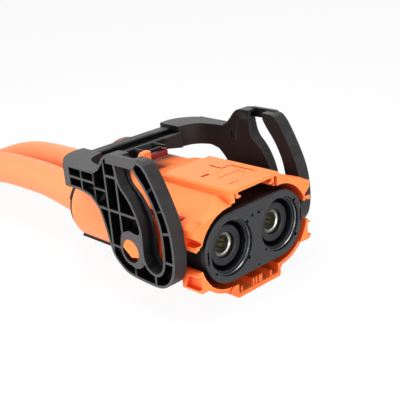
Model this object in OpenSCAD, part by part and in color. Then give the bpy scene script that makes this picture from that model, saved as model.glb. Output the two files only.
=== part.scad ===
// Two-pole high voltage cable connector with a lever.
// The mating face looks along -Y, the cables leave along +Y, +Z is up.
// The origin is the centre of the mating face, halfway between the two contacts.

/* [Contacts] */
// Distance between the two contact axes
pitch = 31; // [29:0.5:34]
// Radius of the power pin that a contact takes
pin_r = 4; // [3.2:0.1:4.2]
// Gap between the pin and the bore of its contact
pin_gap = 0.15; // [0.1:0.05:0.3]
// Wall of a contact's socket
contact_wall = 1.6; // [1.2:0.1:1.9]
// How far a contact's mouth lies behind the mating face
contact_front = 5.9; // [5:0.1:8]
// Depth of a contact's socket
socket_depth = 18; // [16:0.5:22]
// Lamellas in the spring cage of a contact
lamella_count = 12; // [8:1:16]
// Radius of the copper core of a cable
core_r = 4.6; // [4:0.1:5]

/* [Insulation] */
// Wall of the dark liner inside the shield sleeve
liner_t = 0.8; // [0.6:0.1:1]
// Radius of the touch guard round a contact
guard_r = 9.45; // [8.5:0.05:9.8]
// How far the touch guard's face lies behind the mating face
guard_front = 4.2; // [3.5:0.1:4.8]
// Inner radius of the shield sleeve
shield_in_r = 11.85; // [11.2:0.05:12]
// Wall of the shield sleeve
shield_wall = 0.6; // [0.4:0.1:0.8]
// Depth of the ring-shaped recess round a touch guard
recess_depth = 22; // [18:0.5:24]
// Wall of the insert outside the shield sleeves
insert_wall = 3.1; // [2.6:0.1:3.6]
// Thickness of the front cap
cap_t = 3; // [2.5:0.1:4]
// Where the insert ends
insert_rear = 46; // [45:0.5:47]

/* [Shell] */
// Gap between insert and shell that takes the header's collar
collar_gap = 2.75; // [2.5:0.05:3.2]
// Wall of the shell
shell_wall = 1.9; // [1.6:0.1:2.2]
// Where the shell's rim starts
rim_y = 1; // [0.5:0.1:1.5]
// Where the shell ends
shell_rear = 58; // [57:0.5:61]
// Half the width of the keyed roof
roof_half = 15.5; // [14.5:0.1:16.5]
// Height of the roof over the contact axes
roof_top = 25.4; // [24.6:0.1:26]
// Wall of the roof
roof_wall = 1.6; // [1.2:0.1:2]
// Length of the roof
roof_len = 42.1; // [40:0.1:43]
// Half the width of the foot
foot_half = 14.5; // [13:0.1:16]
// Depth of the foot's sole under the contact axes
foot_drop = 25; // [24.2:0.1:25]
// Length of the foot
foot_len = 40; // [34:0.5:42]

/* [Guides] */
// Half the height of a guide slot
guide_half = 4.7; // [4.4:0.05:4.9]
// Rise of the guide slots' middle over the contact axes
guide_rise = 0.3; // [0:0.1:0.4]
// Where a guide slot ends
guide_rear = 23; // [22.6:0.1:24]
// Reach of the guide ears beyond the shell's side
ear_reach = 0.8; // [0.6:0.05:1.1]
// Top of the upper ears
ear_top = 15; // [14:0.1:16]
// Depth of the lower ears
ear_drop = 14; // [13:0.1:14.4]
// Length of the ears
ear_len = 9; // [7:0.5:11]

/* [Cable outlet] */
// Radius of the outlet's ends
outlet_r = 17.5; // [17:0.1:17.8]
// Rise of the outlet's outline over the contact axes
outlet_rise = 1.5; // [1:0.1:1.8]
// Where the outlet ends
outlet_rear = 90.5; // [88:0.5:94]
// Thickness of the black retainer behind the outlet
retainer_t = 3; // [2:0.1:3.5]
// Thickness of the retainer's clips
clip_t = 1.3; // [1:0.1:1.6]
// Radius of a cable's jacket
cable_r = 8.75; // [8:0.05:8.9]
// Radius of a cable's inner insulation
insulation_r = 6.6; // [5.8:0.1:7.2]
// Radius of the bores that take the cable seals
seal_bore_r = 12.3; // [11.6:0.1:12.6]

/* [Lever] */
// Distance of the lever's pivot behind the mating face
pivot_y = 33.5; // [33:0.1:34.5]
// Radius of the pivot studs
stud_r = 5.3; // [4.8:0.1:5.6]
// Running gap between stud and lever
pivot_gap = 0.06; // [0.03:0.01:0.1]
// Gap between the ears and a lever arm
arm_gap = 0.3; // [0.25:0.05:0.5]
// Thickness of a lever arm
arm_t = 6.7; // [6:0.1:7.2]
// Thickness of an arm's web
web_t = 1.6; // [1.2:0.1:2]
// Thickness of an arm's rim
rim_t = 1.2; // [1:0.1:1.6]
// Thickness of the stiffening ribs
rib_t = 1.1; // [0.8:0.1:1.4]
// Radius of the header's cam pegs, with play
cam_r = 4.25; // [3.9:0.05:4.4]
// Height of the grip over the pivot
grip_top = 32.5; // [32:0.1:34]
// Height of the grip's lower edge over the pivot
grip_low = 21.7; // [21.2:0.1:22.4]
// Skin of the grip
grip_wall = 1.6; // [1.2:0.1:2]

/* [Position lock] */
// Width of the locking slide
lock_w = 10; // [8:0.2:11]
// Thickness of the locking slide
lock_t = 1.9; // [1.6:0.1:2]
// Where the locking slide's nose starts
lock_front = 59.5; // [59.2:0.1:62]

/* [Hidden] */
$fn = 64;
fit = 0.05;
over = 1;
// Radii that stack up from the pin to the shell
bore_r = pin_r + pin_gap;
contact_r = bore_r + contact_wall;
shield_r = shield_in_r + shield_wall;
insert_r = shield_in_r + shield_wall + 0.2 + insert_wall;
shell_in_r = insert_r + collar_gap;
shell_r = shell_in_r + shell_wall;
axis_x = pitch / 2;
ear_x = axis_x + shell_r + ear_reach;
// Stations along the part
floor_y = recess_depth;
seat_y = 30;
seat_t = 4;
lip_pitch = 2.6;
lips_y = seat_y - 8;
flange_t = 3;
roof_front = -1.3;
key_depth = 25;
barrel_rear = insert_rear;
crimp_y = 49;
sleeve_rear = 55;
cover_plug_y = seat_y + seat_t + flange_t + 2 * fit;
seal_y = 66;
seal_len = 10;
// Roof channel and its two hanging rails
key_half = roof_half - 2.2;
key_top = roof_top - roof_wall;
rail_x = key_half - 2.8;
// Marks in the roof: a stepped line, a short bar, a plain field and a thin line beside it
roof_line = [[4.6, 31.2], [4, 27], [4.1, 23.6], [4.9, 22.8], [8.8, 22.7], [9.6, 21.9], [9.6, 14],
    [10, 8.6]];
roof_bar = [[-9.1, 22.5], [-4.4, 22.3]];
roof_field = [-7, 10.6, 13.6, 4.6];
roof_score = [[-8.9, 5.8], [-3.1, 5.6]];
mark_depth = 0.6;
// Comb ribs inside the foot, and the sole under them
comb_x = [-10.5, -3, -1.2, 1, 2.2, 8.5];
comb_top = [2.6, 3.4, 3.4, 3.4, 3.4, 2.6];
sole_t = 2;
// Lever
arm_in = ear_x + arm_gap;
arm_out = arm_in + arm_t;
hub_r = stud_r + 1.4;
bridge_z = 38.2;
// Outline of a lever arm round the pivot: nose and underside, then the step down to the grip
arm_nose = [[24, 20.2], [21, 17.6], [18.4, 14.5], [16.6, 9.5], [15, 4], [13.6, -1.5], [11.6, -5.6],
    [8.2, -8.6], [4.5, -10.9], [-1, -12.1], [-12.5, -12.7], [-18.6, -12.2], [-23.3, -9.8], [-26.4, -5.7],
    [-27.8, -1], [-28.3, 4.4], [-28.1, 9.5], [-27.4, 15], [-25.8, 20.5], [-23.4, 26], [-19.8, 33],
    [-16.6, 38.3]];
arm_crown = [[-14.2, 41], [-11.5, 42], [-4, 42.2], [3, 42.3], [8.6, 42.1], [12, 40.3], [14.8, 37],
    [17.4, 34.3]];
// Middle line of the cam slot, from its mouth to the closed position
cam_line = [[-2.2, 46], [-2.2, 41], [-2.6, 37.6], [-5.2, 33.2], [-9.6, 27.4], [-12.8, 21.4], [-14.6, 15],
    [-15.2, 8], [-15.1, 3], [-15, -0.6]];
// Rear edge of the relief behind the slot's mouth
relief_line = [[2, 37.6], [2.2, 33], [1.7, 30.2], [-0.2, 28], [-3, 25.7], [-5.2, 23.4], [-7.7, 19.6],
    [-9.9, 14.8], [-11.6, 9]];
// Outline of the wide channel in the arm's outer side, open at the mouth
channel_line = [[-7.4, 44], [-7.6, 38.2], [-12.6, 32.2], [-16.6, 26.4], [-19.4, 20.6], [-21, 14.8],
    [-21.5, 8.5], [-21.3, 2], [-20.2, -2.8], [-17.6, -5.8], [-14, -6.4], [-10.6, -4.6], [-8.8, -0.5],
    [-8.9, 5.5], [-8.9, 11], [-7.4, 16.4], [-4.8, 21.6], [-1.8, 25.6], [1.2, 28.6], [3, 32], [4.2, 38],
    [5.4, 44]];
// Thick part of an arm between the pivot and the channel, upper and lower curve with their ends
hub_start = [[-9.3, 9.9], [-7.6, 10.3]];
hub_upper = [[-7, 9.3], [-5.8, 8.9], [-2.9, 9.1], [-0.7, 9.5], [3.4, 8], [5.4, 6], [6.3, 2.4]];
hub_middle = [[0, 0], [0.6, -6.6]];
hub_lower = [[-1.9, -7.5], [-4.6, -7.1], [-7.5, -5.3], [-8.6, -4.3]];
hub_end = [[-9.3, -3.6]];
// Shallow square mark in an arm's inner side: y, z, length, height
arm_mark = [12, 27, 3, 4];
// Straight ribs of an arm: start, end
arm_ribs = [[[20.5, 15], [20.5, 34]], [[12, -6], [12, 41]], [[4.5, 6], [4.5, 41]],
    [[-6.4, 16.4], [20.5, 16.6]], [[12, 25], [20.5, 25]], [[4.5, 32.2], [12, 32.2]], [[6, 0], [14, 0]],
    [[-21, 33.9], [-15, 29.8]], [[-25.6, 24.4], [-18, 21.6]], [[-28, 14.6], [-20, 12.8]],
    [[-28, 0.7], [-20, 0.7]], [[-15, -13], [-15, -6]], [[-2, -13], [-2, -6.5]], [[20.5, 27], [38.2, 27]],
    [[29.5, 21], [29.5, 33]]];
// Grip seen from above, right side: front curve from the arm inwards, then the rear curve outwards
grip_in = 24.3;
grip_rear = 86.4;
grip_front_curve = [[arm_in, 49], [arm_in - 0.1, 54], [arm_in - 0.6, 60], [arm_in - 2.4, 66.2],
    [arm_in - 6.2, 70.3], [arm_in - 12.7, 72.2]];
grip_rear_curve = [[grip_in, grip_rear - 0.4], [29.5, grip_rear], [34.6, 85], [38.6, 82], [41.6, 78.4],
    [arm_out - 0.4, 74.5], [arm_out, 71]];
// Rail between the two grips, seen from the side
rail_front = 70.6;
rail_low = 23.6;
rail_floor = 28.2;
rail_profile = [[rail_front, rail_low], [rail_front + 1.5, rail_low], [rail_front + 1.5, rail_floor - 1.1],
    [83.1, rail_floor - 1.1], [83.1, rail_low], [84.6, rail_low], [84.6, 30.2], [83.8, 31], [79.2, 31],
    [78.6, 30.4], [78.6, rail_floor], [72.7, rail_floor], [72.7, 29.3], [72.3, 29.7], [71, 29.7],
    [rail_front, 29.3]];
rail_rib_x = [8.6, 14, 19.4];
rail_rib_rear = 83.6;
sill_x = grip_in - 9.3;
lock_z = 25;
lock_gap = 0.2;
guide_w = 1.3;
// Cheeks of the rail beside the locking slide, and the slide's nose, tab and thumb pad
cheek_y = lock_front + 2.2;
cheek_t = 1;
cheek_top = lock_z + 4.6;
nose_t = 1.4;
nose_h = 2.8;
tab_w = 1.6;
tab_h = 3.2;
pad_y = 85;
pad_t = 2.6;
pad_half = 7.5;
pad_r = 16;
// Free cables: middle line of the left one, hand-laid from the outlet down to the floor
cable_exit = outlet_rear + retainer_t;
cable_route = [[0, 0, 0], [0, 8, 0.1], [-0.6, 16, 0.5], [-1.4, 24, 1.1], [-2.2, 32, 1.6], [-2.9, 40, 2],
    [-3.3, 48, 2.3], [-3.4, 58, 2.4], [-3.4, 68, 2.3], [-3.4, 78, 2.1], [-3.4, 88, 1.5], [-3.4, 98, 0.2],
    [-3.4, 108, -1.9], [-3.4, 118, -4.7], [-3.4, 128, -8], [-3.4, 138, -11.3], [-3.4, 148, -14],
    [-3.4, 158, -15.7], [-3.4, 168, -16.25], [-3.4, 178, -16.25], [-3.4, 188, -16.25]];
cable_sides = 12;
tip_insulation = 4;
tip_core = 9;

orange = "#ff8440";
charcoal = "#4c4c4f";
slate = "#646468";
black = "#1d1d1f";
crimson = "#961e28";
silver = "#c9c8bf";
olive = "#8d8a72";
copper = "#b87348";

// Point on a Catmull-Rom curve between b and c
function bend(a, b, c, d, t) = 0.5 * (2 * b + (c - a) * t + (2 * a - 5 * b + 4 * c - d) * t * t
    + (3 * b - a - 3 * c + d) * t * t * t);
// Smooth open curve through hand-set points
function curve(p, steps = 3) = let (n = len(p) - 1) concat([for (i = [0 : n - 1], k = [0 : steps - 1])
    bend(p[max(i - 1, 0)], p[i], p[i + 1], p[min(i + 2, n)], k / steps)], [p[n]]);
function unit(v) = v / norm(v);
function left_of(v) = [-v[1], v[0]];
// Direction of an open line at point i
function heading(p, i) = unit(p[min(i + 1, len(p) - 1)] - p[max(i - 1, 0)]);
// Open line moved sideways
function beside(p, d) = [for (i = [0 : len(p) - 1]) p[i] + d * left_of(heading(p, i))];
function reversed(p) = [for (i = [len(p) - 1 : -1 : 0]) p[i]];
// 2D: a band of one width along an open line
module stroke(p, w) polygon(concat(beside(p, w / 2), reversed(beside(p, -w / 2))));

// 2D: an outline with two round ends on the contact axes
module stadium(r) {
    translate([-axis_x, 0]) circle(r);
    translate([axis_x, 0]) circle(r);
    square([pitch, 2 * r], center = true);
}
// Extrudes an XZ outline between two stations of Y
module along_y(from, to) translate([0, to, 0]) rotate([90, 0, 0]) linear_extrude(to - from) children();
// Extrudes a YZ outline between two stations of X
module along_x(from, to) translate([from, 0, 0]) rotate([90, 0, 90]) linear_extrude(to - from) children();
// Turns a (radius, y) profile round a contact axis
module about_y() rotate([-90, 0, 0]) rotate_extrude() children();
// Runs a (radius, y) profile round the whole stadium
module round_stadium() {
    for (s = [0, 1]) mirror([s, 0, 0]) translate([axis_x, 0, 0]) rotate([-90, 0, 0])
        rotate([0, 0, -90]) rotate_extrude(angle = 180) children();
    for (s = [0, 1]) mirror([0, 0, s]) translate([axis_x, 0, 0]) rotate([0, -90, 0])
        linear_extrude(pitch) children();
}
module both_sides() {
    children();
    mirror([1, 0, 0]) children();
}
module at_left() translate([-axis_x, 0, 0]) children();
module at_right() translate([axis_x, 0, 0]) children();
module tube(from, to, outer, inner) along_y(from, to) difference() {
    circle(outer);
    circle(inner);
}

// Keyed roof: a raised channel over the shell, with two hanging rails inside it
module roof_outline() polygon([[-roof_half, shell_r - 0.4], [-roof_half, roof_top - 3.1],
    [-roof_half + 0.5, roof_top - 0.9], [-roof_half + 1.3, roof_top], [roof_half - 1.3, roof_top],
    [roof_half - 0.5, roof_top - 0.9], [roof_half, roof_top - 3.1], [roof_half, shell_r - 0.4]]);
module key_rails() both_sides() along_y(roof_front + 0.6, roof_front + key_depth)
    polygon([[rail_x, key_top + 0.3], [rail_x, key_top - 1.7], [rail_x - 1.4, key_top - 2],
        [rail_x - 1.4, key_top - 2.9], [rail_x + 0.9, key_top - 2.9], [rail_x + 1.5, key_top - 2.4],
        [rail_x + 1.5, key_top + 0.3]]);
// Foot under the shell with its sloping left flank
module foot_outline() polygon([[-foot_half - 3, -shell_in_r - 1], [-foot_half - 3, -foot_drop + 3.4],
    [-foot_half + 1.2, -foot_drop], [foot_half - 0.6, -foot_drop], [foot_half, -foot_drop + 0.8],
    [foot_half, -foot_drop + 3.4], [foot_half + 2, -shell_in_r - 1], [foot_half, -shell_in_r + 1],
    [-foot_half, -shell_in_r + 1]]);
module foot_hollow() polygon([[-foot_half + 1.6, -shell_in_r + 2.5], [-foot_half + 1.6, -foot_drop + sole_t],
    [foot_half - 1.6, -foot_drop + sole_t], [foot_half - 1.6, -shell_in_r + 2.5]]);
// Shoulder that slopes from the roof down to the shell, right side
module shoulder() polygon([[roof_half - 1, shell_in_r], [roof_half - 1, roof_top - 3.1],
    [roof_half + 0.6, roof_top - 3.2], shoulder_end, [shoulder_end[0] + 0.5, shoulder_end[1] - 0.9],
    [shoulder_end[0], shell_in_r - 6], [roof_half + 6, shell_in_r - 1]]);
// Ears above and below a guide slot, right side: straight outer edge from the roof down to the ear's corner
guide_top = guide_rise + guide_half;
guide_bottom = guide_rise - guide_half;
ear_root = shell_in_r + axis_x;
ear_slope = (roof_top - 3.2 - ear_top) / (ear_x - roof_half - 1.3);
shoulder_end = [ear_root - 3, ear_top + ear_slope * (ear_x - ear_root + 2.3)];
module upper_ear() polygon([[roof_half - 1, shell_in_r], [roof_half - 1, roof_top - 3.1],
    [roof_half + 0.6, roof_top - 3.2], [ear_x - 0.7, ear_top], [ear_x, ear_top - 0.7],
    [ear_x, guide_top + 0.9], [ear_x - 0.5, guide_top], [ear_root - 1, guide_top + 1.9],
    [ear_root - 4, guide_top + 3]]);
module lower_ear() polygon([[ear_root - 1.2, guide_bottom], [ear_x - 2, guide_bottom],
    [ear_x - 0.3, guide_bottom - 1.2], [ear_x - 0.3, -ear_drop + 1.2], [ear_x - 1.7, -ear_drop],
    [ear_root - 3.5, -ear_drop], [ear_root - 5.3, -shell_in_r + 5], [ear_root - 2.7, guide_bottom - 3]]);
// Pockets in the ears: a wedge open to the front, a bowl in the upper corner, and one below the slot
module ear_pockets() {
    along_y(-over, ear_len - 3.2) polygon([[ear_x + over, guide_top + 2.2],
        [ear_x + over, guide_top + 7], [ear_root - 0.9, guide_top + 3.6],
        [ear_root - 0.9, guide_top + 2.4]]);
    translate([ear_x - 1.4, rim_y + 1, ear_top + 4.5]) sphere(5.3);
    along_x(ear_x - 2.3, ear_x + over) polygon([[-over - 1, -ear_drop + 2],
        [ear_len - 1, -ear_drop + 2], [ear_len - 3.4, guide_bottom - 2], [-over - 1, guide_bottom - 1.6]]);
}
// Sloping cut that takes the shoulder's front edge down to the shell's opening, right side
edge_z = shell_in_r + 0.9;
edge_x = (edge_z - ear_top) / (ear_x - roof_half);
edge_y = (roof_top - 3.1 - edge_z) / 7;
slope_start = [-10, -10, 0];
slope_size = [50, 30, 10];
module front_slope() intersection() {
    translate([roof_half, rim_y - 3, ear_top - 5]) cube([40, 20, 20]);
    translate([roof_half, rim_y - 1, edge_z])
        rotate([asin(edge_y / norm([edge_x, edge_y, 1])), atan(edge_x), 0])
            translate(slope_start) cube(slope_size);
}
// Pivot stud with two flats on its lower side, over which the lever arm is snapped
stud_flats = 3.6;
module pivot_stud() translate([0, pivot_y, 0]) difference() {
    rotate([0, 90, 0]) cylinder(r = stud_r, h = arm_out - 0.3);
    along_x(arm_out - stud_flats, arm_out + over) for (a = [[-55, 0.48], [-105, 0.57]])
        rotate(a[0]) translate([a[1] * stud_r, -stud_r - over]) square([stud_r, 2 * stud_r + 2 * over]);
}
// Catch on the roof side of the shell, beside the locking slide's nose
catch_x = -lock_w / 2 - 2.4;
catch_y = shell_rear - 0.8;
catch_low = max(shell_r - 1, outlet_r + outlet_rise + 2 * fit);
catch_t = 3.2;
catch_w = 5.2;
catch_top = lock_z + 6;
module catch() along_y(catch_y, catch_y + catch_t) polygon([[catch_x - catch_w, catch_low],
    [catch_x - catch_w, catch_top - 1.6], [catch_x - catch_w + 1.2, catch_top - 0.2], [catch_x, catch_top],
    [catch_x, catch_low]]);
module roof_marks() translate([0, 0, roof_top - mark_depth]) {
    linear_extrude(mark_depth + over) stroke(roof_line, 1);
    linear_extrude(mark_depth + over) stroke(roof_bar, 1.7);
    translate([0, 0, mark_depth / 2]) linear_extrude(over) stroke(roof_score, 0.6);
    translate([roof_field[0], roof_field[1], mark_depth * 0.7]) cube([roof_field[2], roof_field[3], over]);
}
module outer_housing() color(orange) difference() {
    union() {
        along_y(rim_y, shell_rear) stadium(shell_r);
        along_y(roof_front, roof_front + roof_len) roof_outline();
        along_x(-roof_half + 1, roof_half - 1) polygon([[roof_front + roof_len - 1, shell_in_r],
            [roof_front + roof_len + 5, shell_in_r], [roof_front + roof_len + 5, shell_r],
            [roof_front + roof_len, roof_top - 0.6], [roof_front + roof_len - 1, roof_top - 0.6]]);
        both_sides() along_y(rim_y, roof_front + roof_len) shoulder();
        along_y(rim_y - 0.6, rim_y + foot_len) foot_outline();
        both_sides() along_y(rim_y - 1, rim_y + ear_len) {
            upper_ear();
            lower_ear();
        }
        both_sides() pivot_stud();
        catch();
    }
    along_y(roof_front - over, seat_y) stadium(shell_in_r);
    along_y(seat_y - over, shell_rear + over) stadium(insert_r + 0.1);
    along_y(seat_y + seat_t, shell_rear + over) stadium(shell_in_r);
    difference() {
        along_y(roof_front - over, roof_front + key_depth) translate([-key_half, 0])
            square([2 * key_half, key_top]);
        key_rails();
    }
    difference() {
        along_y(rim_y - 0.6 - over, rim_y + foot_len - 3) foot_hollow();
        for (i = [0 : len(comb_x) - 1]) translate([comb_x[i] - 0.5, rim_y, -foot_drop + sole_t - over])
            cube([1, foot_len, comb_top[i] + over]);
    }
    both_sides() translate([axis_x, rim_y - over - 1, guide_bottom])
        cube([ear_x, guide_rear - rim_y + over + 1, 2 * guide_half]);
    both_sides() ear_pockets();
    both_sides() front_slope();
    roof_marks();
}

// Dark insert that holds both contacts and their shields
module insert_housing() color(charcoal) difference() {
    union() {
        along_y(cap_t, insert_rear) stadium(insert_r);
        along_y(seat_y + seat_t + fit, seat_y + seat_t + flange_t) stadium(shell_in_r - 0.2);
    }
    for (s = [-1, 1]) translate([s * axis_x, 0, 0])
        along_y(cap_t - over, insert_rear + over) circle(shield_r + fit);
    shunt_space(fit);
}
hvil_x = 2.1;
hvil_z = 10.2;
hvil_r = 1.3;
module shunt_space(gap) {
    for (s = [-1, 1]) translate([s * hvil_x, 0, hvil_z])
        along_y(cap_t - over, cap_t + 14 + gap) circle(hvil_r + gap);
    translate([-hvil_x - hvil_r - gap, cap_t + 11, hvil_z - 0.5 - gap])
        cube([2 * (hvil_x + hvil_r + gap), 3 + gap, 1 + 2 * gap]);
}
module interlock_shunt() color(silver) difference() {
    union() {
        for (s = [-1, 1]) translate([s * hvil_x, 0, hvil_z]) along_y(cap_t + 0.4, cap_t + 13) circle(hvil_r);
        translate([-hvil_x, cap_t + 11.5, hvil_z - 0.5]) cube([2 * hvil_x, 2, 1]);
    }
    for (s = [-1, 1]) translate([s * hvil_x, 0, hvil_z]) along_y(cap_t, cap_t + 10) circle(0.7);
}

// Flat cap that closes the insert and locks the contacts
module front_cap() color(slate) difference() {
    union() {
        along_y(0.6, cap_t - fit) stadium(insert_r);
        round_stadium()
            polygon([[insert_r - 2, 0], [insert_r - 0.6, 0], [insert_r, 0.6], [insert_r - 2, 0.6]]);
        along_y(0, 0.6) stadium(insert_r - 1);
    }
    for (s = [-1, 1]) translate([s * axis_x, 0, 0]) {
        along_y(-over, cap_t + over) circle(shield_r + 0.2);
        for (a = [40, 140, 220, 320]) rotate([0, a, 0]) translate([shield_r - 1, -over, -0.8])
            cube([2.4, over + 1.2, 1.6]);
    }
    for (s = [-1, 1]) translate([s * hvil_x, 0, hvil_z]) along_y(-over, cap_t + over) circle(0.8);
    for (s = [-1, 1]) translate([s * (axis_x + shield_r + 1.7) - 0.5, -over, -3]) cube([1, over + 1.2, 6]);
    translate([0.3, 0, -insert_r + 1.8]) along_y(-over, 0.8) circle(0.6);
}

// Lipped seal that slides over the insert and seals against the header's collar
lip = [[1.2, 0], [2, 0.8], [2, 1.2], [1.2, 2]];
module interface_seal() color(black) round_stadium() polygon(concat([[insert_r + fit, lips_y]],
    [for (k = [0 : 2], p = lip) [insert_r + p[0], lips_y + k * lip_pitch + p[1]]],
    [[insert_r + 1.2, seat_y - fit], [insert_r + fit, seat_y - fit]]));

// Thin metal sleeve that carries the cable's shield forward
module shield_sleeve() color(silver) about_y() polygon([[shield_in_r, 1.6], [shield_in_r + 0.2, 1.2],
    [shield_r - 0.1, 1.2], [shield_r, 1.5], [shield_r, sleeve_rear], [shield_in_r, sleeve_rear]]);

// Touch-proof sleeve round a contact, seated inside the shield sleeve
module touch_guard() color(charcoal) about_y() polygon([[contact_r + fit, guard_front + 0.3],
    [contact_r + 0.5, guard_front], [guard_r - 0.6, guard_front], [guard_r, guard_front + 0.6],
    [guard_r, floor_y], [shield_in_r - liner_t, floor_y], [shield_in_r - liner_t, guard_front - 1.6],
    [shield_in_r - liner_t + 0.3, guard_front - 1.9], [shield_in_r - fit, guard_front - 1.9],
    [shield_in_r - fit, barrel_rear], [contact_r + 0.8 + fit, barrel_rear],
    [contact_r + 0.8 + fit, contact_front + socket_depth + 3 - fit],
    [contact_r + fit, contact_front + socket_depth + 2]]);

// Turned socket with a groove for the spring cage and a crimp barrel behind
groove_front = contact_front + 3;
groove_rear = contact_front + 14;
groove_r = bore_r + 0.7;
module contact() color(silver) about_y() polygon([[bore_r + 0.5, contact_front],
    [contact_r - 0.4, contact_front], [contact_r, contact_front + 0.4],
    [contact_r, contact_front + socket_depth + 2],
    [contact_r + 0.8, contact_front + socket_depth + 3], [contact_r + 0.8, barrel_rear],
    [core_r + fit, barrel_rear], [core_r + fit, contact_front + socket_depth + 4],
    [0, contact_front + socket_depth + 4], [0, contact_front + socket_depth],
    [bore_r, contact_front + socket_depth],
    [bore_r, groove_rear], [groove_r, groove_rear], [groove_r, groove_front], [bore_r, groove_front],
    [bore_r, contact_front + 0.5]]);

// Spring cage: two bands joined by lamellas that bow in towards the pin
module contact_spring() color(olive) {
    out = groove_r - fit;
    for (y = [groove_front + fit, groove_rear - 1.2 - fit]) tube(y, y + 1.2, out, out - 0.3);
    crest = bore_r + 0.03;
    bow = [[out, 0.6], [out, 1.2], [crest + 0.25, 3.6], [crest + 0.25, 7.4], [out, 9.8], [out, 10.4],
        [out - 0.3, 10.4], [out - 0.3, 9.7], [crest, 7.3], [crest, 3.7], [out - 0.3, 1.3], [out - 0.3, 0.6]];
    for (i = [0 : lamella_count - 1]) rotate([0, i * 360 / lamella_count, 0]) translate([0, groove_front, 0])
        rotate([-90, 0, 0]) rotate_extrude(angle = 240 / lamella_count) polygon(bow);
}

// Ring that clamps the cable's braid to the shield sleeve
module crimp_ring() color(silver) tube(crimp_y, sleeve_rear, shield_in_r - fit, cable_r + 0.1);

// Stripped end of a cable inside the connector: core, insulation, jacket
module cable_end() color(orange) about_y() polygon([[0, contact_front + socket_depth + 4 + fit],
    [core_r, contact_front + socket_depth + 4 + fit], [core_r, barrel_rear + 0.4],
    [insulation_r, barrel_rear + 0.4],
    [insulation_r, crimp_y], [cable_r, crimp_y], [cable_r, cable_exit], [0, cable_exit]]);

// Orange outlet behind the shell, with a plug that fits inside the shell and two seal bores
module outlet_outline() translate([0, outlet_rise]) stadium(outlet_r);
module rear_cover() color(orange) difference() {
    union() {
        along_y(shell_rear + fit, outlet_rear - fit) outlet_outline();
        along_y(cover_plug_y, shell_rear + 2) stadium(shell_in_r - 0.15);
    }
    for (s = [-1, 1]) translate([s * axis_x, 0, 0])
        along_y(cover_plug_y - over, outlet_rear + over) circle(seal_bore_r);
    along_y(cover_plug_y - over, shell_rear - 2) stadium(shell_in_r - 2);
}

// Black plate that keeps the cable seals in, with corner lugs and clips along the outlet's underside
module outlet_arc(inner, outer, from, to) translate([axis_x, outlet_rise]) intersection() {
    difference() {
        circle(outer);
        circle(inner);
    }
    polygon(concat([[0, 0]], [for (a = [from, (from + to) / 2, to]) 2 * outer * [cos(a), sin(a)]]));
}
module seal_retainer() color(black) difference() {
    union() {
        along_y(outlet_rear, cable_exit) {
            translate([0, outlet_rise]) stadium(outlet_r - 1.2);
            both_sides() outlet_arc(outlet_r - 3, outlet_r + clip_t, -70, -53);
        }
        both_sides() along_y(outlet_rear, outlet_rear + 2) outlet_arc(outlet_r - 3, outlet_r + 0.2, 20, 40);
        both_sides() along_y(outlet_rear - 18.5, outlet_rear + over)
            outlet_arc(outlet_r + fit, outlet_r + clip_t, -70, -53);
    }
    for (s = [-1, 1]) translate([s * axis_x, 0, 0])
        along_y(outlet_rear - over, cable_exit + over) circle(cable_r + 0.25);
}

// Ribbed wire seal on a cable's jacket
seal_wave = [[0.8, 0], [fit, 1], [fit, 1.8], [0.9, 2.9], [0.9, 3.6], [fit, 4.6], [fit, 5.4], [0.9, 6.4],
    [0.9, 7.1], [fit, 8.2], [fit, 9], [0.8, seal_len]];
module cable_seal() color(black) about_y() polygon(concat([[cable_r + fit, seal_y]],
    [for (p = seal_wave) [seal_bore_r - p[0], seal_y + p[1]]], [[cable_r + fit, seal_y + seal_len]]));

// Lever arm, drawn flat round the pivot
arm_curve = concat(curve(arm_nose), curve(arm_crown));
grip_y = 42.4;
module arm_outline(inset) {
    edge = beside(arm_curve, -inset);
    polygon(concat(edge, [[20.6, grip_top - inset], [grip_y - inset, grip_top - inset],
        [grip_y - inset, grip_low + inset], [32, grip_low + inset], [28, grip_low - 0.6 + inset]]));
}
module cam_slot() {
    middle = curve(cam_line);
    polygon(concat(beside(middle, cam_r),
        [for (a = [345 : -15 : 195]) cam_line[9] + cam_r * [cos(a), sin(a)]],
        reversed(beside(middle, -cam_r))));
    polygon(concat(curve(relief_line), [[-13, 11], [-8, 28], [-2.4, 37.6]]));
}
module channel(grow) polygon(beside(curve(channel_line), -grow));
module bar(p, q) {
    side = left_of(unit(q - p)) * rib_t / 2;
    polygon([p + side, p - side, q - side, q + side]);
}
module arm_ribs_outline() intersection() {
    arm_outline(rim_t / 2);
    difference() {
        for (r = arm_ribs) bar(r[0], r[1]);
        channel(rim_t / 2);
    }
}
module hub_outline() {
    circle(hub_r);
    polygon(concat(hub_start, curve(hub_upper), hub_middle, curve(hub_lower), hub_end));
}
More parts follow.
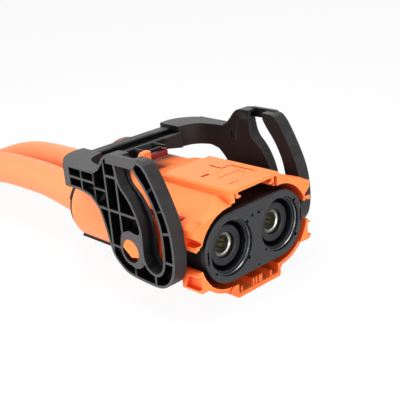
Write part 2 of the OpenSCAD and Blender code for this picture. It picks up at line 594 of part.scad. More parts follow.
module lever_arm() difference() {
    union() {
        along_x(arm_in, arm_in + web_t) arm_outline(0);
        along_x(arm_in, arm_out) difference() {
            arm_outline(0);
            arm_outline(rim_t);
        }
        along_x(arm_in, arm_out) difference() {
            intersection() {
                arm_outline(0);
                channel(rim_t);
            }
            channel(0);
        }
        along_x(arm_in, arm_out - 0.1) arm_ribs_outline();
        along_x(arm_in, arm_out) difference() {
            hub_outline();
            channel(0);
        }
        along_x(arm_in, arm_out) polygon([[38.2, grip_low], [grip_y, grip_low], [grip_y, grip_top],
            [38.2, grip_top]]);
        along_x(arm_out - 1.8, arm_out) polygon([[-11.4, 42], [-7.4, bridge_z],
            [10, bridge_z - 0.2], [10, 41.4], [6, 41.9], [4.4, 42.7], [-10.2, 42.7]]);
    }
    along_x(arm_in - over, arm_out - 1.8) cam_slot();
    along_x(arm_in - over, arm_out + over) intersection() {
        cam_slot();
        translate([-40, -20]) square([60, 20 + bridge_z - 0.2]);
    }
    along_x(arm_in - over, arm_out + over) circle(stud_r + pivot_gap);
    translate([arm_in - over, arm_mark[0], arm_mark[1]]) cube([over + 0.5, arm_mark[2], arm_mark[3]]);
    translate([arm_in - over, arm_mark[0] - 2.6, arm_mark[1] - 7]) cube([over + 0.3, 0.5, 17]);
}

// Grip seen from above: hollow block between arm and rail, open below
grip_plan = concat(curve(grip_front_curve), curve(grip_rear_curve));
grip_core = concat(beside(curve(grip_front_curve), -grip_wall), beside(curve(grip_rear_curve), -grip_wall));
module grip() difference() {
    translate([0, 0, grip_low]) linear_extrude(grip_top - grip_low) polygon(concat(reversed(grip_plan),
        [[arm_in, 49]]));
    translate([0, 0, grip_low - over]) linear_extrude(grip_top - grip_wall - grip_low + over)
        intersection() {
            polygon(reversed(grip_core));
            translate([grip_in + grip_wall, 60]) square([arm_in - grip_in - grip_wall, 40]);
        }
}
module rail() {
    difference() {
        along_x(-grip_in - 0.5, grip_in + 0.5) polygon(rail_profile);
        translate([-lock_w / 2 - lock_gap, rail_front - over, lock_z - lock_gap])
            cube([lock_w + 2 * lock_gap, 20, lock_t + 2 * lock_gap]);
    }
    both_sides() along_y(rail_front, rail_front + 1.5) polygon([[sill_x, rail_low + 0.4], [sill_x, rail_low],
        [grip_in, grip_low], [grip_in + 0.5, grip_low], [grip_in + 0.5, rail_low + 0.4]]);
    both_sides() for (x = rail_rib_x) translate([x, rail_front + 0.5, rail_low])
        cube([rib_t, rail_rib_rear - rail_front, rail_floor - rail_low - 0.4]);
    both_sides() translate([lock_w / 2 + lock_gap, rail_front + 0.5, rail_low])
        cube([guide_w, rail_rib_rear - rail_front, rail_floor - rail_low - 0.4]);
    both_sides() translate([lock_w / 2 + lock_gap, cheek_y, 0]) along_x(0, cheek_t)
        polygon([[0, lock_z + 0.4], [0.8, lock_z - 0.4], [rail_front + 1 - cheek_y, lock_z - 0.4],
            [rail_front + 1 - cheek_y, cheek_top], [0, cheek_top]]);
    translate([-lock_w / 2 - lock_gap - 0.2, cheek_y, lock_z + nose_h + lock_gap])
        cube([lock_w + lock_gap - tab_w, cheek_t, cheek_top - lock_z - nose_h - lock_gap]);
}
module lever() color(charcoal) {
    both_sides() translate([0, pivot_y, 0]) lever_arm();
    both_sides() grip();
    rail();
}

// Locking slide that runs through the rail, with a nose in front and a thumb pad behind
module locking_slide() color(crimson) {
    translate([-lock_w / 2, lock_front + 1, lock_z]) cube([lock_w, pad_y + 1 - lock_front, lock_t]);
    along_x(-lock_w / 2, lock_w / 2) polygon([[lock_front, lock_z + 0.4], [lock_front + 0.5, lock_z],
        [lock_front + nose_t, lock_z], [lock_front + nose_t, lock_z + nose_h],
        [lock_front + 0.3, lock_z + nose_h], [lock_front, lock_z + nose_h - 0.4]]);
    translate([lock_w / 2 - tab_w, lock_front + 0.4, lock_z + 0.5]) cube([tab_w, 3.4, tab_h]);
    along_y(pad_y, pad_y + pad_t) intersection() {
        translate([0, lock_z + 5.8 - pad_r]) circle(pad_r);
        translate([-pad_half, lock_z]) square([2 * pad_half, pad_r]);
    }
}

// Swept tube along a route
function across(d) = unit(cross([0, 0, 1], d));
function over_top(d) = cross(d, across(d));
function tangent(p, i) = unit(p[min(i + 1, len(p) - 1)] - p[max(i - 1, 0)]);
module swept(p, r, sides) {
    rings = [for (i = [0 : len(p) - 1], k = [0 : sides - 1])
        let (d = i == 0 ? [0, 1, 0] : tangent(p, i), a = 360 * k / sides)
        p[i] + r * (cos(a) * across(d) + sin(a) * over_top(d))];
    n = len(p);
    walls = [for (i = [0 : n - 2], k = [0 : sides - 1]) let (j = (k + 1) % sides)
        [i * sides + k, (i + 1) * sides + k, (i + 1) * sides + j, i * sides + j]];
    polyhedron(rings, concat([[for (k = [0 : sides - 1]) k]], walls,
        [[for (k = [sides - 1 : -1 : 0]) (n - 1) * sides + k]]), convexity = 6);
}
module cable() color(orange) translate([axis_x, cable_exit, 0]) swept(cable_route, cable_r, cable_sides);
module core_tip() {
    last = cable_route[len(cable_route) - 1];
    translate([axis_x + last[0], cable_exit + last[1], last[2]]) {
        color(orange) along_y(0, tip_insulation) circle(insulation_r);
        color(copper) along_y(0, tip_core) circle(core_r);
    }
}

outer_housing();
insert_housing();
front_cap();
interface_seal();
at_left() shield_sleeve();  // shield_sleeve_left
at_right() shield_sleeve();  // shield_sleeve_right
at_left() touch_guard();  // touch_guard_left
at_right() touch_guard();  // touch_guard_right
at_left() contact();  // contact_left
at_right() contact();  // contact_right
at_left() contact_spring();  // contact_spring_left
at_right() contact_spring();  // contact_spring_right
interlock_shunt();
at_left() crimp_ring();  // crimp_ring_left
at_right() crimp_ring();  // crimp_ring_right
rear_cover();
seal_retainer();
at_left() cable_seal();  // cable_seal_left
at_right() cable_seal();  // cable_seal_right
at_left() cable_end();  // cable_end_left
at_right() cable_end();  // cable_end_right
lever();
locking_slide();
mirror([1, 0, 0]) cable();  // cable_left
cable();  // cable_right
mirror([1, 0, 0]) core_tip();  // core_tip_left
core_tip();  // core_tip_right
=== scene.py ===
import math

import bpy
from mathutils import Matrix, Vector


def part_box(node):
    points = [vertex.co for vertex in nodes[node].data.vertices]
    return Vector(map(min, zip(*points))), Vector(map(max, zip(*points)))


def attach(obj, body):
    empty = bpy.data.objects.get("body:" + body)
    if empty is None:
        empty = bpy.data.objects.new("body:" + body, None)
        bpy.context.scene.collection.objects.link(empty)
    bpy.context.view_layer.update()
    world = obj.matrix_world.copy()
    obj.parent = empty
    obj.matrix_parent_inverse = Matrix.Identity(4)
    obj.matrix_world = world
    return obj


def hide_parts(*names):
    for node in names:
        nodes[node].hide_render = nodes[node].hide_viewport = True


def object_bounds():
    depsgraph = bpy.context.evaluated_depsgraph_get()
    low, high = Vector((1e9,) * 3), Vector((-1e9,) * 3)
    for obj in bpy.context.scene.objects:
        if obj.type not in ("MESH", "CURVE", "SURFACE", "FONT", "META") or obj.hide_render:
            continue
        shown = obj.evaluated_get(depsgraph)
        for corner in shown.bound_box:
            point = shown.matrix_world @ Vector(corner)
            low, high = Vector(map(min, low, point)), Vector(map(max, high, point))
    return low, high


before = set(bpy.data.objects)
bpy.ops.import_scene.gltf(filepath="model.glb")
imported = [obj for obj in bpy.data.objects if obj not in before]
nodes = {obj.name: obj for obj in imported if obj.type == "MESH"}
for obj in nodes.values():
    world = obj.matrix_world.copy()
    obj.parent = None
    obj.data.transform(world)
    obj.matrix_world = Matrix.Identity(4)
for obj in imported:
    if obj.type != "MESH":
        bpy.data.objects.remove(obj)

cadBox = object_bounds()
scene = bpy.context.scene
mm = 0.001
print("frame loaded:", len(nodes), "nodes")


# Camera, where the photograph was taken from
camera = {
    "place": (-239.49, -227.42, 143.23),  # mm
    "turn": -42.44,  # degrees round the part, from straight in front of the mating face
    "rise": 20.7,  # degrees over the horizon
    "roll": -5.15,
    "lens": 74.45,  # mm
    "sensor": 36,  # mm
    "nearest": 10,  # mm, what is closer isn't drawn
}


def addCamera(c):
    bpy.ops.object.camera_add()
    view = bpy.context.object
    view.name = "viewCamera"
    turned = Matrix.Rotation(math.radians(c["turn"]), 4, "Z")
    raised = Matrix.Rotation(math.radians(90 - c["rise"]), 4, "X")
    rolled = Matrix.Rotation(math.radians(c["roll"]), 4, "Z")
    view.matrix_world = Matrix.Translation(Vector(c["place"]) * mm) @ turned @ raised @ rolled
    view.data.sensor_width = c["sensor"]
    view.data.lens = c["lens"]
    view.data.clip_start = c["nearest"] * mm
    scene.camera = view


addCamera(camera)
print("camera placed")


# Small tools
def clearSelection():
    for o in bpy.context.selected_objects:
        o.select_set(False)


def select(o):
    clearSelection()
    o.select_set(True)
    bpy.context.view_layer.objects.active = o


def settle(o):
    # the object's place goes into its mesh
    select(o)
    bpy.ops.object.transform_apply(location=True, rotation=True, scale=True)


def applyModifiers(o):
    select(o)
    for m in list(o.modifiers):
        bpy.ops.object.modifier_apply(modifier=m.name)


def paint(o, material):
    o.data.materials.clear()
    o.data.materials.append(material)


def camel(node):
    words = node.split("_")
    return words[0] + "".join(w.capitalize() for w in words[1:])


# Node groups that more than one material uses
def newGroup(name, inputs, outputs):
    tree = bpy.data.node_groups.new(name, "ShaderNodeTree")
    for direction, labels in (("INPUT", inputs), ("OUTPUT", outputs)):
        for label in labels:
            kind = "Color" if "Colour" in label else "Float"
            tree.interface.new_socket(label, in_out=direction, socket_type="NodeSocket" + kind)
    return tree, tree.nodes.new("NodeGroupInput").outputs, tree.nodes.new("NodeGroupOutput").inputs


def add(tree, kind, settings=None, **inputs):
    # inputs go by their names on the node, or as i0, i1 by their place
    node = tree.nodes.new("ShaderNode" + kind)
    for key, value in (settings or {}).items():
        setattr(node, key, value)
    for key, value in inputs.items():
        socket = node.inputs[int(key[1:])] if key[1:].isdigit() else node.inputs[key.replace("_", " ")]
        if isinstance(value, bpy.types.NodeSocket):
            tree.links.new(value, socket)
        else:
            socket.default_value = value
    return node


def calc(tree, operation, a, b=0.0):
    return add(tree, "Math", {"operation": operation}, i0=a, i1=b).outputs[0]


def ramp(tree, value, span, toLow=0.0, toHigh=1.0):
    return add(tree, "MapRange", None, Value=value, From_Min=span[0], From_Max=span[1],
               To_Min=toLow, To_Max=toHigh).outputs[0]


def scaledNoise(tree, place, scale, detail):
    return add(tree, "TexNoise", None, Vector=place, Scale=scale, Detail=detail).outputs[0]


def spread(tree, noise, amount):
    # noise runs round a half, and this makes it run round zero
    return calc(tree, "MULTIPLY", calc(tree, "SUBTRACT", noise, 0.5), amount)


def mixColour(tree, factor, a, b):
    return add(tree, "Mix", {"data_type": "RGBA"}, i0=factor, i6=a, i7=b).outputs[2]


# Wear, painted highlights and painted shade on moulded plastic: each pair says where it starts and where it
# is full
wearAndPaintedLight = {
    "cloudScale": 70.0,
    "cloudDetail": 3.0,
    "grainDetail": 2.0,
    "edgeRadius": 0.4,  # mm
    "edgeSamples": 6,
    "edge": (0.99, 0.86),  # cosine between the rounded normal and the face's own
    "side": (0.8, 0.96),  # how squarely a face looks to the side
    "top": (0.85, 0.98),
    "topShare": 0.32,  # of what the outermost sides get
    "front": (-0.3, -0.8),  # the front looks along -Y
    "frontShare": 0.25,
    "sky": (0.92, 0.5),  # share of open sky; where it is low, hollows get painted shade
    "skySamples": 8,
    "floorFade": 5,  # mm over the floor in which the painted shade fades out, so the floor paints none
    "floorShare": 0.2,  # of the painted shade, left right at the floor
}


def highlightAndRubFaces(tree, w, given, outward, facing):
    # painted highlight on the tops and the fronts, where the light falls, and on the lever's outermost
    # sides, which is partly rubbed wear and partly painted highlight
    side, front, top = add(tree, "SeparateXYZ", None, Vector=facing).outputs
    sideways = ramp(tree, calc(tree, "ABSOLUTE", side), w["side"])
    outmost = calc(tree, "MULTIPLY", calc(tree, "GREATER_THAN", outward, given["Rub From"]), sideways)
    topHighlight = calc(tree, "MULTIPLY", ramp(tree, top, w["top"]), w["topShare"])
    frontHighlight = calc(tree, "MULTIPLY", ramp(tree, front, w["front"]), w["frontShare"])
    most = calc(tree, "MAXIMUM", outmost, calc(tree, "MAXIMUM", topHighlight, frontHighlight))
    return calc(tree, "MULTIPLY", most, given["Rub"])


# painted shade: where ambient occlusion finds little open sky, the colour darkens towards a shade colour,
# less so near the floor
def paintedCavityShade(tree, w, given, height, alone):
    openSky = add(tree, "AmbientOcclusion", {"samples": w["skySamples"], "only_local": alone},
                  Distance=given["Reach"]).outputs["AO"]
    shadeMask = calc(tree, "MULTIPLY", ramp(tree, openSky, w["sky"]), given["Cavity"])
    lifted = calc(tree, "SUBTRACT", height, given["Floor"])
    return calc(tree, "MULTIPLY", shadeMask, ramp(tree, lifted, (0.0, w["floorFade"] * mm), w["floorShare"]))


def buildMoulding(name, w, alone):
    # cloudy tone, spark-eroded grain, pale edges and faces that are partly rubbed wear and partly painted
    # highlight, and painted shade in hollows
    tree, given, out = newGroup(
        name,
        ["Colour", "Edge Colour", "Cavity Colour", "Edge", "Cavity", "Reach", "Rub", "Rub From", "Tone",
         "Grain", "Roughness", "Spread", "Gloss", "Unhighlighted Middle", "Floor"],
        ["Colour", "Roughness", "Height", "Polish"])
    place, facing = (add(tree, "TexCoord").outputs[n] for n in ("Object", "Normal"))
    across, _, height = add(tree, "SeparateXYZ", None, Vector=place).outputs
    outward = calc(tree, "ABSOLUTE", across)
    cloud = scaledNoise(tree, place, w["cloudScale"], w["cloudDetail"])
    grain = scaledNoise(tree, place, given["Grain"], w["grainDetail"])
    # an edge is where the rounded normal leaves the face's own; edges turn pale, partly as rubbed wear and
    # partly as a painted highlight
    rounded = add(tree, "Bevel", {"samples": w["edgeSamples"]}, Radius=w["edgeRadius"] * mm).outputs[0]
    straight = add(tree, "NewGeometry").outputs["Normal"]
    turn = add(tree, "VectorMath", {"operation": "DOT_PRODUCT"}, i0=rounded, i1=straight).outputs["Value"]
    paleEdge = calc(tree, "MULTIPLY", ramp(tree, turn, w["edge"]), given["Edge"])
    pale = calc(tree, "MAXIMUM", paleEdge, highlightAndRubFaces(tree, w, given, outward, facing))
    # the middle strip gets no pale edges and no painted highlight, and stays dark
    pale = calc(tree, "MULTIPLY", pale, calc(tree, "GREATER_THAN", outward, given["Unhighlighted Middle"]))
    shadeMask = paintedCavityShade(tree, w, given, height, alone)
    tone = calc(tree, "ADD", spread(tree, cloud, given["Tone"]), 1.0)
    toned = add(tree, "HueSaturation", None, Value=tone, Color=given["Colour"]).outputs[0]
    wornAndHighlighted = mixColour(tree, pale, toned, given["Edge Colour"])
    # the painted shade of the hollows goes over everything else
    tree.links.new(mixColour(tree, shadeMask, wornAndHighlighted, given["Cavity Colour"]), out["Colour"])
    uneven = calc(tree, "ADD", spread(tree, cloud, given["Spread"]), spread(tree, grain, given["Spread"]))
    tree.links.new(calc(tree, "ADD", given["Roughness"], uneven), out["Roughness"])
    tree.links.new(calc(tree, "MULTIPLY", shadeMask, given["Gloss"]), out["Polish"])  # cavities stay glossy
    tree.links.new(grain, out["Height"])
    return tree


# Turned or drawn metal: each pair says where it starts and where it is full
turningMarks = {
    "cloudScale": 220.0,
    "cloudDetail": 4.0,
    "endFace": (0.9, 0.99),  # how squarely a face looks along the axis
    "stain": (0.42, 0.66),  # in the clouds' value
    "ringWaver": 0.6,
    "stainRoughness": 0.25,  # added where the stain is full
}


def buildTurning(name, t):
    # fine rings across the axis, faint stains and dull end faces
    tree, given, out = newGroup(
        name,
        ["Colour", "Stain Colour", "Stain", "Dull", "Rings", "Roughness"],
        ["Colour", "Roughness", "Height"])
    place, facing = (add(tree, "TexCoord").outputs[n] for n in ("Object", "Normal"))
    cloud = scaledNoise(tree, place, t["cloudScale"], t["cloudDetail"])
    along = calc(tree, "ABSOLUTE", add(tree, "SeparateXYZ", None, Vector=facing).outputs[1])
    dulled = calc(tree, "MULTIPLY", ramp(tree, along, t["endFace"]), given["Dull"])
    rings = add(tree, "TexWave", {"bands_direction": "Y"}, Vector=place, Scale=given["Rings"],
                Distortion=t["ringWaver"]).outputs[1]
    stained = calc(tree, "MULTIPLY", ramp(tree, cloud, t["stain"]), given["Stain"])
    stained = calc(tree, "MAXIMUM", stained, dulled)
    tree.links.new(mixColour(tree, stained, given["Colour"], given["Stain Colour"]), out["Colour"])
    rougher = calc(tree, "MULTIPLY", stained, t["stainRoughness"])
    tree.links.new(calc(tree, "ADD", given["Roughness"], rougher), out["Roughness"])
    tree.links.new(rings, out["Height"])
    return tree


moulding = buildMoulding("moulding", wearAndPaintedLight, False)
ribbedMoulding = buildMoulding("ribbedMoulding", wearAndPaintedLight, True)  # only the piece itself darkens its hollows with painted shade
turning = buildTurning("turning", turningMarks)


def newMaterial(name, group, values, grainRelief, **shader):
    material = bpy.data.materials.new(name)
    material.use_nodes = True
    tree = material.node_tree
    principled = tree.nodes["Principled BSDF"]
    surface = tree.nodes.new("ShaderNodeGroup")
    surface.node_tree = group
    for key, value in values.items():
        surface.inputs[key].default_value = value
    tree.links.new(surface.outputs["Colour"], principled.inputs["Base Color"])
    tree.links.new(surface.outputs["Roughness"], principled.inputs["Roughness"])
    relief = tree.nodes.new("ShaderNodeBump")
    relief.inputs["Strength"].default_value = grainRelief[0]
    relief.inputs["Distance"].default_value = grainRelief[1] * mm
    tree.links.new(surface.outputs["Height"], relief.inputs["Height"])
    tree.links.new(relief.outputs["Normal"], principled.inputs["Normal"])
    if values.get("Gloss"):  # a coat only where the polish varies
        tree.links.new(surface.outputs["Polish"], principled.inputs["Coat Weight"])
    for key, value in shader.items():
        principled.inputs[key.replace("_", " ")].default_value = value
    return material


def linear(value):
    # one screen value of 0 to 255, by the sRGB curve
    v = value / 255
    return v / 12.92 if v <= 0.04045 else ((v + 0.055) / 1.055) ** 2.4


def shade(red, green, blue):
    return (linear(red), linear(green), linear(blue), 1)


# Moulded plastics: colours as read off a screen, shares of 0 to 1, lengths in mm
usualPlastic = {
    "tone": 0.1,  # how cloudy the colour is
    "grain": 1800.0,  # scale of the mould's grain
    "spread": 0.08,  # how uneven the roughness is
    "specular": 0.5,
    "reach": 5,  # how far off a wall still darkens a hollow with painted shade
    "rub": 0.0,  # paleness on the outermost sides, tops and fronts, partly wear and partly painted highlight
    "rubAndHighlightDepth": 0.2,  # how far in from the lever's side a face still counts as outermost
    "gloss": 0.0,  # of the cavities
    "unhighlightedMiddle": 0.0,  # half width of the middle strip that gets no pale edges and no painted highlight, so it stays dark
    "onFloor": False,
    "group": moulding,
    "coatRoughness": 0.26,
    "relief": (0.25, 0.04),  # strength, and depth of the grain
}
# The cavity colours are painted shade for hollows; the edge colours are pale edges, partly wear and partly
# painted highlight
plastics = {
    "shellOrange": {"colour": (250, 132, 64), "edge": 0.5, "edgeColour": (255, 180, 124),
                    "cavity": 0.9, "cavityShadeColour": (208, 52, 6), "roughness": 0.5, "specular": 0.3,
                    "tone": 0.06, "reach": 12, "onFloor": True},
    "coverOrange": {"colour": (251, 132, 68), "edge": 0.5, "edgeColour": (255, 190, 140),
                    "cavity": 0.8, "cavityShadeColour": (206, 60, 14), "roughness": 0.42, "specular": 0.6,
                    "tone": 0.06, "reach": 8},
    "jacketOrange": {"colour": (248, 141, 88), "edge": 0.0, "edgeColour": (255, 176, 120),
                     "cavity": 0.3, "cavityShadeColour": (190, 60, 20), "roughness": 0.5, "specular": 0.4,
                     "tone": 0.05, "grain": 900.0},
    "leverCharcoal": {"colour": (27, 25, 26), "edge": 0.5, "edgeColour": (96, 95, 96),
                      "cavity": 0.98, "cavityShadeColour": (4, 4, 6), "roughness": 0.44, "specular": 0.12,
                      "reach": 14, "rub": 0.62, "gloss": 0.3, "unhighlightedMiddle": 13.5,
                      "group": ribbedMoulding},
    "capGrey": {"colour": (42, 43, 46), "edge": 0.4, "edgeColour": (112, 114, 118),
                "cavity": 0.85, "cavityShadeColour": (6, 6, 8), "roughness": 0.45, "specular": 0.3},
    "guardGrey": {"colour": (34, 34, 37), "edge": 0.3, "edgeColour": (92, 94, 98),
                  "cavity": 0.95, "cavityShadeColour": (4, 4, 6), "roughness": 0.46, "specular": 0.3},
    "insertDark": {"colour": (20, 17, 18), "edge": 0.1, "edgeColour": (60, 60, 64),
                   "cavity": 0.7, "cavityShadeColour": (5, 4, 4), "roughness": 0.5, "specular": 0.25},
    "retainerBlack": {"colour": (14, 13, 14), "edge": 0.08, "edgeColour": (50, 50, 52),
                      "cavity": 0.4, "cavityShadeColour": (5, 5, 6), "roughness": 0.5, "specular": 0.2},
    "sealBlack": {"colour": (14, 13, 14), "edge": 0.1, "edgeColour": (40, 40, 42),
                  "cavity": 0.5, "cavityShadeColour": (3, 3, 3), "roughness": 0.42},
    "lockCrimson": {"colour": (108, 12, 20), "edge": 0.3, "edgeColour": (176, 60, 70),
                    "cavity": 0.8, "cavityShadeColour": (40, 3, 5), "roughness": 0.4},
}
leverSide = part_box("lever")[1][0]
farBelow = -1.0  # m, a floor so low that it fades no cavity


def makePlastic(name, own):
    p = {**usualPlastic, **own}
    return newMaterial(name, p["group"], {
        "Colour": shade(*p["colour"]), "Edge Colour": shade(*p["edgeColour"]), "Edge": p["edge"],
        "Cavity Colour": shade(*p["cavityShadeColour"]), "Cavity": p["cavity"], "Tone": p["tone"],
        "Grain": p["grain"], "Roughness": p["roughness"], "Spread": p["spread"], "Reach": p["reach"] * mm,
        "Rub": p["rub"], "Rub From": leverSide - p["rubAndHighlightDepth"] * mm, "Gloss": p["gloss"],
        "Unhighlighted Middle": p["unhighlightedMiddle"] * mm, "Floor": cadBox[0][2] if p["onFloor"] else farBelow},
        p["relief"], Specular_IOR_Level=p["specular"], Coat_Roughness=p["coatRoughness"])


# Metals
usualMetal = {
    "rings": 900.0,  # scale of the turning marks
    "dull": 0.7,  # stain on the end faces
    "relief": (0.15, 0.02),  # strength, and depth of the marks in mm
}
metals = {
    "contactSilver": {"colour": (206, 204, 194), "stainColour": (64, 62, 52),
                      "stain": 0.5, "roughness": 0.32},
    "springOlive": {"colour": (196, 190, 156), "stainColour": (128, 120, 92),
                    "stain": 0.6, "roughness": 0.5},
    "shieldSteel": {"colour": (146, 147, 150), "stainColour": (62, 62, 62),
                    "stain": 0.7, "roughness": 0.34},
    "copperBare": {"colour": (214, 132, 92), "stainColour": (130, 76, 52),
                   "stain": 0.4, "roughness": 0.3},
}


def makeMetal(name, own):
    m = {**usualMetal, **own}
    return newMaterial(name, turning, {
        "Colour": shade(*m["colour"]), "Stain Colour": shade(*m["stainColour"]), "Stain": m["stain"],
        "Dull": m["dull"], "Rings": m["rings"], "Roughness": m["roughness"]}, m["relief"], Metallic=1.0)


finish = {name: makePlastic(name, own) for name, own in plastics.items()}
finish.update({name: makeMetal(name, own) for name, own in metals.items()})
print("materials made")


# Cables, in mm: the left one is a mirror of the right one, and the route starts at the exit
cable = {
    "exit": (15.5, 93.5, 0),
    "radius": 8.75,
    "roundness": 10,  # bevel resolution
    "stepsBetween": 4,  # from one point of the route to the next
    "route": [(0, 0, 0), (0, 8, 0.1), (-0.6, 16, 0.5), (-1.4, 24, 1.1), (-2.2, 32, 1.6), (-2.9, 40, 2),
              (-3.3, 48, 2.3), (-3.4, 58, 2.4), (-3.4, 68, 2.3), (-3.4, 78, 2.1), (-3.4, 88, 1.5),
              (-3.4, 98, 0.2), (-3.4, 108, -1.9), (-3.4, 118, -4.7), (-3.4, 128, -8), (-3.4, 138, -11.3),
              (-3.4, 148, -14), (-3.4, 158, -15.7), (-3.4, 168, -16.25), (-3.4, 178, -16.25),
              (-3.4, 188, -16.25)],
}


def addCable(c, side, sideName):
    exitPoint = Vector((c["exit"][0] * side, c["exit"][1], c["exit"][2])) * mm
    curve = bpy.data.curves.new("cable" + sideName, "CURVE")
    curve.dimensions = "3D"
    curve.bevel_depth = c["radius"] * mm
    curve.bevel_resolution = c["roundness"]
    curve.resolution_u = c["stepsBetween"]
    curve.use_fill_caps = True
    spline = curve.splines.new("BEZIER")
    spline.bezier_points.add(len(c["route"]) - 1)
    for knot, (x, y, z) in zip(spline.bezier_points, c["route"]):
        knot.co = exitPoint + Vector((x * side, y, z)) * mm
        knot.handle_left_type = knot.handle_right_type = "AUTO"
    piece = bpy.data.objects.new("cable" + sideName, curve)
    scene.collection.objects.link(piece)
    paint(piece, finish["jacketOrange"])
    node = "cable_" + sideName.lower()
    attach(piece, "housing")
    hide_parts(node)


addCable(cable, -1, "Left")
addCable(cable, 1, "Right")
print("cables laid")


# Moulded nodes with their edges broken, as a mould leaves them: width of the bevel in mm
softened = {
    "outer_housing": {"body": "housing", "finish": "shellOrange", "slot": "shell_orange", "width": 0.3},
    "rear_cover": {"body": "housing", "finish": "coverOrange", "slot": "shell_orange", "width": 0.4},
    "lever": {"body": "lever", "finish": "leverCharcoal", "slot": "lever_charcoal", "width": 0.18},
    "locking_slide": {"body": "locking_slide", "finish": "lockCrimson", "slot": "lock_crimson",
                      "width": 0.25},
    "front_cap": {"body": "housing", "finish": "capGrey", "slot": "cap_grey", "width": 0.12},
    "seal_retainer": {"body": "housing", "finish": "retainerBlack", "slot": "retainer_black", "width": 0.2},
}
edgeWork = {
    "merge": 0.005,  # mm, between doubles
    "flat": 0.6,  # degrees, up to which faces count as one plane
    "sharp": 28,  # degrees, from which an edge gets a bevel
    "segments": 2,
    "smooth": 18,  # degrees, up to which faces are shaded as one
}


# Pockets in the outer end of each grip, seen from the side: y, z, length and height in mm
pockets = {
    "cells": [(54.6, 22.9, 7.9, 3.6), (54.6, 27.6, 7.9, 3.7),
              (63.5, 22.9, 8.1, 3.6), (63.5, 27.6, 8.1, 3.7)],
    "floor": 39.2,  # mm beside the middle
    "depth": 8.0,
}


def cutPockets(piece, c):
    for side in (-1, 1):
        for y, z, length, height in c["cells"]:
            clearSelection()
            middle = (side * (c["floor"] + c["depth"] / 2), y + length / 2, z + height / 2)
            bpy.ops.mesh.primitive_cube_add(size=1, location=Vector(middle) * mm)
            block = bpy.context.object
            block.scale = (c["depth"] * mm, length * mm, height * mm)
            settle(block)
            cut = piece.modifiers.new("pocket", "BOOLEAN")
            cut.operation = "DIFFERENCE"
            cut.object = block
            applyModifiers(piece)
            bpy.data.objects.remove(block)


def editAll(piece):
    select(piece)
    bpy.ops.object.mode_set(mode="EDIT")
    bpy.ops.mesh.select_all(action="SELECT")


def soften(node, s, e):
    piece = bpy.data.objects.new(camel(node), nodes[node].data.copy())
    scene.collection.objects.link(piece)
    editAll(piece)
    bpy.ops.mesh.remove_doubles(threshold=e["merge"] * mm)
    bpy.ops.mesh.dissolve_limited(angle_limit=math.radians(e["flat"]))
    bpy.ops.object.mode_set(mode="OBJECT")
    if node == "lever":
        cutPockets(piece, pockets)
    editAll(piece)
    bpy.ops.mesh.vert_connect_concave()
    bpy.ops.object.mode_set(mode="OBJECT")
    bevel = piece.modifiers.new("edges", "BEVEL")
    bevel.width = s["width"] * mm
    bevel.segments = e["segments"]
    bevel.limit_method = "ANGLE"
    bevel.angle_limit = math.radians(e["sharp"])
    bevel.use_clamp_overlap = True
    bevel.miter_outer = "MITER_ARC"
    applyModifiers(piece)
    bpy.ops.object.shade_smooth_by_angle(angle=math.radians(e["smooth"]))
    flat = piece.modifiers.new("flat faces", "WEIGHTED_NORMAL")
    flat.keep_sharp = True
    applyModifiers(piece)
    paint(piece, finish[s["finish"]])
    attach(piece, s["body"])
    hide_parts(node)


for node, settings in softened.items():
    soften(node, settings, edgeWork)
print("edges broken")


# Nodes that keep their own mesh
plain = {
    "insert_housing": "insertDark", "interface_seal": "sealBlack", "interlock_shunt": "contactSilver",
    "shield_sleeve_left": "shieldSteel", "shield_sleeve_right": "shieldSteel",
    "touch_guard_left": "guardGrey", "touch_guard_right": "guardGrey",
    "contact_left": "contactSilver", "contact_right": "contactSilver",
    "contact_spring_left": "springOlive", "contact_spring_right": "springOlive",
    "crimp_ring_left": "shieldSteel", "crimp_ring_right": "shieldSteel",
    "cable_seal_left": "sealBlack", "cable_seal_right": "sealBlack",
    "cable_end_left": "jacketOrange", "cable_end_right": "jacketOrange",
    "core_tip_left": "copperBare", "core_tip_right": "copperBare",
}
for node, name in plain.items():
    paint(nodes[node], finish[name])
print("nodes painted")


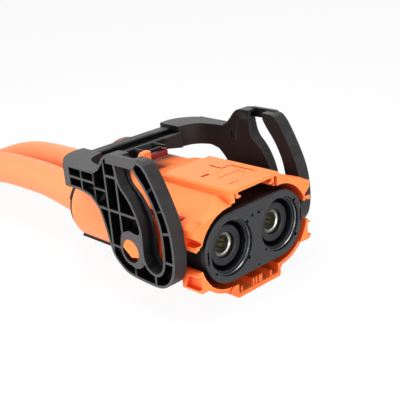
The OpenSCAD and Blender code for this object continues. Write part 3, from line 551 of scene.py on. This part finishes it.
# Studio: pale floor, big soft lamps, white background
studio = {
    "floor": -25.0,  # mm, what the foot and the cables lie on
    "floorSize": 6000,  # mm
    "floorShade": 0.8,
    "floorWhite": 0.93,  # share of plain white that the camera sees, the rest takes the shadow
    "ambient": 0.3,
    "aim": (0, 35, 5),  # mm, where all the lamps point
    "lamps": [  # place and size in mm, power in watts
        {"place": (-60, 60, 560), "size": 520, "power": 3.5},
        {"place": (-480, -60, 80), "size": 210, "power": 0.5},
        {"place": (-60, -480, 120), "size": 320, "power": 1.35},
        {"place": (-300, -350, 40), "size": 120, "power": 0.5},
        {"place": (300, 400, 300), "size": 320, "power": 0.4},
        {"place": (-350, 400, 160), "size": 320, "power": 0.45},
        {"place": (-330, 100, -5), "size": 120, "power": 0.42},
    ],
}


def cameraSide(tree):
    # 1 for rays that should see the background, 0 for rays that light the part
    path = add(tree, "LightPath").outputs
    seen = calc(tree, "MAXIMUM", path["Is Camera Ray"], path["Is Glossy Ray"])
    return calc(tree, "MAXIMUM", seen, path["Is Transmission Ray"])


def addWorld(s):
    world = bpy.data.worlds.new("studioWorld")
    scene.world = world
    world.use_nodes = True
    tree = world.node_tree
    strength = ramp(tree, cameraSide(tree), (0, 1), s["ambient"])
    background = tree.nodes["Background"]
    background.inputs["Color"].default_value = (1, 1, 1, 1)
    tree.links.new(strength, background.inputs["Strength"])


def addFloor(s):
    bpy.ops.mesh.primitive_plane_add(size=s["floorSize"] * mm, location=(0, 0, s["floor"] * mm))
    floor = bpy.context.object
    floor.name = "studioFloor"
    material = bpy.data.materials.new("paleFloor")
    material.use_nodes = True
    tree = material.node_tree
    tree.nodes.remove(tree.nodes["Principled BSDF"])
    grey = s["floorShade"]
    matte = add(tree, "BsdfDiffuse", None, Color=(grey, grey, grey, 1)).outputs[0]
    white = add(tree, "Emission", None, Color=(1, 1, 1, 1), Strength=1.0).outputs[0]
    share = ramp(tree, cameraSide(tree), (0, 1), 0.0, s["floorWhite"])
    mixed = add(tree, "MixShader", None, i0=share, i1=matte, i2=white).outputs[0]
    tree.links.new(mixed, tree.nodes["Material Output"].inputs["Surface"])
    paint(floor, material)


def addLamps(s):
    aim = Vector(s["aim"]) * mm
    for number, lamp in enumerate(s["lamps"]):
        place = Vector(lamp["place"]) * mm
        bpy.ops.object.light_add(type="AREA", location=place)
        light = bpy.context.object
        light.name = "softLamp%d" % number
        light.data.size = lamp["size"] * mm
        light.data.energy = lamp["power"]
        light.rotation_euler = (place - aim).to_track_quat("Z", "Y").to_euler()


addWorld(studio)
addFloor(studio)
addLamps(studio)
scene.view_settings.view_transform = "Standard"
print("studio lit")
